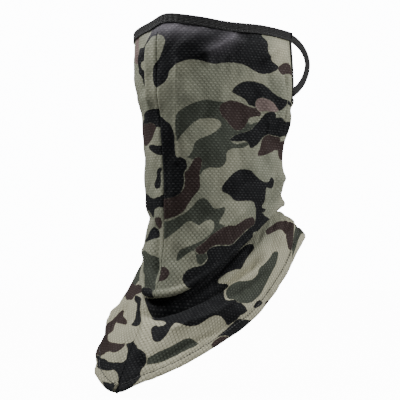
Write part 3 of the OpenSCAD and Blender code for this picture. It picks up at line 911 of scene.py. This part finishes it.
def add_strip(name, rings, node, material, body="root"):
    """A tape or band as a skin through rings of points, with its map along and round it."""
    count = rings.shape[1]
    piece = add_piece(name, rings.reshape(-1, 3), ring_faces(len(rings), count), [material], node, body)
    along, around = distances(rings.mean(axis=1)), distances(rings[0])
    lay_map(piece.data, np.repeat(along, count), np.tile(around, len(rings)))
    return piece


def edge_frames(outer, inner):
    """Directions along a bound edge: down the tape and out of its face."""
    down = unit(inner - outer)
    along = unit(np.gradient(outer, axis=0))
    out = unit(np.cross(down, along))
    return down, out


def rim_path(drop=0.0, count=420):
    """The nose rim from ear to ear, so far below its edge, very slightly wavy from the sewing."""
    angle = np.linspace(-EAR_ANGLE, EAR_ANGLE, count)
    depth = curve(RIM, angle) + drop
    path = tube(angle, depth)
    normal = unit(path * (1, 1, 0) - (0, EAR_Y, 0))
    return path + normal * 0.25 * ripple(angle * 1.58, 0, 6, 0, 3.0)[:, None]


def nape_path(inset=0.0, count=260):
    """The side and nape edges from one ear to the other round the back."""
    t = np.linspace(0, 2, count)
    angle, depth = back_edge(t, inset)
    half = tube(angle, depth)
    return np.concatenate([half, half[-2::-1] * (-1, 1, 1)])


def loop_centreline(count=90):
    """Middle of the loop's band in its own plane: how far back, and how far up."""
    keys = [(-5, 28.2), (0, 27.4), (9, 23.4), (16.7, 18.2), (22, 12.5), (25.6, 6.3), (27, 0),
            (25.6, -6.3), (22, -12.5), (16.7, -18.2), (9, -23.4), (0, -27.4), (-5, -28.2)]
    return spline(keys, count)


LOOP_W, LOOP_T = 8, 1.4
LOOP_SPLAY = 8             # degrees that the loop stands out from the side edge
LOOP_GAP = 3.2             # between the side edge and the loop, which turns outward at its middle


def make_loop(side_name, material):
    """An ear loop's band, its ends at the top and the foot of the side edge."""
    side = SIDES[side_name]
    top = tube(np.array(float(EAR_ANGLE)), np.array(9.5))
    low = tube(np.array(float(EAR_ANGLE + SIDE_LEAN)), np.array(float(SIDE_DEPTH)))
    lean = np.arctan2(low[1] - top[1], top[2] - low[2])
    line = loop_centreline()
    along = unit(np.gradient(line, axis=0))
    across = np.stack([-along[:, 1], along[:, 0]], axis=1)
    ribs = np.linspace(-1, 1, 13)
    face = [(w * LOOP_W / 2, LOOP_T / 2 * (1 - 0.5 * w ** 6) + 0.08 * np.cos(w * 14)) for w in ribs]
    profile = face + [(w, -t) for w, t in face[::-1]]
    rings = []
    splay = np.radians(LOOP_SPLAY)
    for middle, sideways in zip(line, across):
        wave = 0.5 * np.sin(middle[1] * 0.11)
        ring = []
        for w, t in profile:
            back, up = middle + sideways * w
            level = back - LOOP_GAP / 2
            x = (top[0] + low[0]) / 2 + level * np.sin(splay) + (t + wave) * np.cos(splay)
            y = LOOP_GAP / 2 + level * np.cos(splay) - (t + wave) * np.sin(splay)
            z = up - (top[2] - low[2]) / 2 + 1
            ring.append((x, top[1] + y * np.cos(lean) - z * np.sin(lean),
                         top[2] - 1 + y * np.sin(lean) + z * np.cos(lean)))
        rings.append(ring)
    rings = np.array(rings) * (side, 1, 1)
    if side < 0:
        rings = rings[:, ::-1]
    piece = add_strip(f"{side_name}_loop_band", rings, f"{side_name}_ear_loop", material,
                      body=None)
    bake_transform(piece)


# ---------------------------------------------------------------- stitching

def stitch_rings(a, b, out, radius, sink):
    """One stitch from a to b: a short thread, thick in the middle and sunk at its ends."""
    along = unit(b - a)
    other = np.cross(along, out)
    rings = []
    for t, size in ((0, 0.35), (0.18, 0.85), (0.5, 1), (0.82, 0.85), (1, 0.35)):
        middle = mix(a, b, t) - out * sink * (2 * t - 1) ** 2
        turn = np.radians(np.arange(0, 360, 60))[:, None]
        rings.append(middle + (out * np.cos(turn) + other * np.sin(turn)) * radius * size)
    return np.array(rings)


def add_stitches(name, segments, node, material, radius=0.32, sink=0.4):
    """A row of separate stitches, as (start, end, outward) triples."""
    points, faces = [], []
    for a, b, out in segments:
        rings = stitch_rings(a, b, out, radius, sink)
        faces += [[k + len(points) for k in f] for f in ring_faces(len(rings), rings.shape[1])]
        points += rings.reshape(-1, 3).tolist()
    return add_piece(name, points, faces, [material], node, "root")


def along_path(path, pitch):
    """The starts of stitches of a pitch along a path, and values given at its points between them."""
    along = distances(path)

    def at(values, s):
        return np.stack([np.interp(s, along, column) for column in values.T], axis=-1)

    return np.arange(pitch, along[-1] - pitch, pitch), at


def dashes(path, out, pitch, share=0.72, lift=0.0):
    """Stitches of an even pitch along a path."""
    starts, at = along_path(path, pitch)
    result = []
    for s in starts:
        direction = unit(at(out, s))
        ends = at(path, s), at(path, s + pitch * share)
        result.append((ends[0] + direction * lift, ends[1] + direction * lift, direction))
    return result


def overlock(path, inward, width, pitch):
    """Overlock stitches round a seam allowance: slanting loops on both of its sides."""
    starts, at = along_path(path, pitch)
    result = []
    for s in starts:
        reach = unit(at(inward, s))
        near = at(path, s) + reach * (SEAM_ALLOWANCE - width)
        far = at(path, s + pitch * 0.7) + reach * (SEAM_ALLOWANCE + 0.3)
        for x in (1.15, -1.15):
            result.append((near + (x, 0, 0), far + (x, 0, 0), np.array([np.sign(x), 0, 0])))
    return result


def make_binding(name, outer, inner, width, stitches_in, tape, thread):
    """A tape folded over an edge of the cloth, and the stitches near the tape's own edge."""
    down, out = edge_frames(outer, inner)
    rings = sweep_profile(outer, down, out, folded_tape_profile(width))
    add_strip(f"{name}_tape", rings, name, tape)
    line = outer + down * (width - stitches_in)
    add_stitches(f"{name}_stitches", dashes(line, out, pitch=3.0, lift=1.1), f"{name}_thread", thread)


def make_hem(side_name, grid, down, thread):
    """The row of bold stitches that holds the hem."""
    line, out = hem_line(grid, down)
    mirror = (SIDES[side_name], 1, 1)
    stitches = dashes(line * mirror, out * mirror, pitch=3.2, share=0.86, lift=0.2)
    add_stitches(f"{side_name}_hem_stitches", stitches, f"{side_name}_hem_thread", thread,
                 radius=0.5)


def make_seam(name, grid, column, thread):
    """The overlock of the seam that runs down a column of the left panel's grid."""
    rows = len(TUBE_ROWS)
    path = grid[column, :rows] * (0, 1, 1)
    inward = -grid_normals(grid[3:-3])[0 if column > 0 else -1, :rows] * (0, 1, 1)
    add_stitches(f"{name}_overlock", overlock(path, inward, width=4, pitch=2.4),
                 f"{name}_thread", thread, radius=0.25, sink=0.2)


# ---------------------------------------------------------------- the scene

CAMERA_TURN = 33                         # degrees from the front to the wearer's left
CAMERA_AWAY, CAMERA_ASIDE = 1500, 13.5
CAMERA_DEPTH, TARGET_DEPTH = 230, 175.5  # depth at which the camera stands, and at which it looks


def add_camera():
    """A long lens, level with the lower part of the tube and turned slightly up."""
    turn = np.radians(CAMERA_TURN)
    right = np.array([np.cos(turn), np.sin(turn), 0])
    away = np.array([np.sin(turn), -np.cos(turn), 0])
    place = away * CAMERA_AWAY - right * CAMERA_ASIDE + (0, 0, -CAMERA_DEPTH)
    target = -right * CAMERA_ASIDE + (0, 0, -TARGET_DEPTH)
    data = bpy.data.cameras.new("camera")
    data.lens = 135
    data.sensor_width = 36
    camera = bpy.data.objects.new("camera", data)
    bpy.context.scene.collection.objects.link(camera)
    camera.location = place * MM
    aim = unit(target - place)
    side = unit(np.cross(aim, (0, 0, 1)))
    up = np.cross(side, aim)
    camera.rotation_euler = Matrix(np.stack([side, up, -aim], axis=1).tolist()).to_euler()
    bpy.context.scene.camera = camera


def add_light(name, place, size, power):
    """A soft round lamp in metres, turned to the middle of the mask."""
    data = bpy.data.lights.new(name, "AREA")
    data.shape = "DISK"
    data.size = size
    data.energy = power
    lamp = bpy.data.objects.new(name, data)
    bpy.context.scene.collection.objects.link(lamp)
    lamp.location = place
    lamp.rotation_euler = (Vector((0, 0, -0.16)) - Vector(place)).to_track_quat("-Z", "Y").to_euler()


PAPER_GLOW, SKY_GLOW, SKY_LIGHT = 13.0, 14.0, 0.07     # paper and sky as seen, and the sky's light


def add_studio():
    """Pale paper below and behind, and three lamps close by: two at the sides and one above."""
    mesh = bpy.data.meshes.new("floor")
    corners = [(4 * np.cos(t), 4 * np.sin(t), float(cad_low[2]) - 0.004)
               for t in np.linspace(0, 2 * np.pi, 48, endpoint=False)]
    mesh.from_pydata(corners, [], [list(range(48))])
    mesh.materials.append(floor_material())
    floor = bpy.data.objects.new("floor", mesh)
    bpy.context.scene.collection.objects.link(floor)
    world = bpy.data.worlds.new("studio")
    world.use_nodes = True
    nodes, links = world.node_tree.nodes, world.node_tree.links
    glow = nodes["Background"]
    glow.inputs[0].default_value = (0.97, 0.98, 1, 1)
    seen = nodes.new("ShaderNodeLightPath")
    strength = nodes.new("ShaderNodeMapRange")
    strength.inputs["To Min"].default_value = SKY_LIGHT
    strength.inputs["To Max"].default_value = SKY_GLOW
    links.new(seen.outputs["Is Camera Ray"], strength.inputs["Value"])
    links.new(strength.outputs[0], glow.inputs[1])
    bpy.context.scene.world = world
    add_light("key", (0.8, 0.3, 0.35), 0.3, 11)
    add_light("fill", (-0.65, -0.35, 0.55), 0.25, 8)
    add_light("top", (-0.1, -0.5, 0.55), 0.25, 6)


add_camera()
add_studio()

camo = [knit_material("camo_knit"), knit_material("camo_knit_inside", inner=True)]
tape = tape_material("binding_tape", "#0f0f10")
elastic = tape_material("loop_elastic", "#101011")
black_thread = thread_material("black_thread", "#121213")
olive_thread = thread_material("seam_thread", "#5d5e50")

panels = {name: make_panel(name, PRINTS[name], camo) for name in SIDES}
make_binding("nose_binding", rim_path(), rim_path(NOSE_TAPE_W), NOSE_TAPE_W, 1.4, tape, black_thread)
make_binding("nape_binding", nape_path(), nape_path(EDGE_TAPE_W), EDGE_TAPE_W, 1.2, tape, black_thread)
for name in SIDES:
    make_loop(name, elastic)
for name, (grid, down) in panels.items():
    make_hem(name, grid, down, black_thread)
for name, column in (("front_seam", 3), ("back_seam", -4)):
    make_seam(name, panels["left"][0], column, olive_thread)
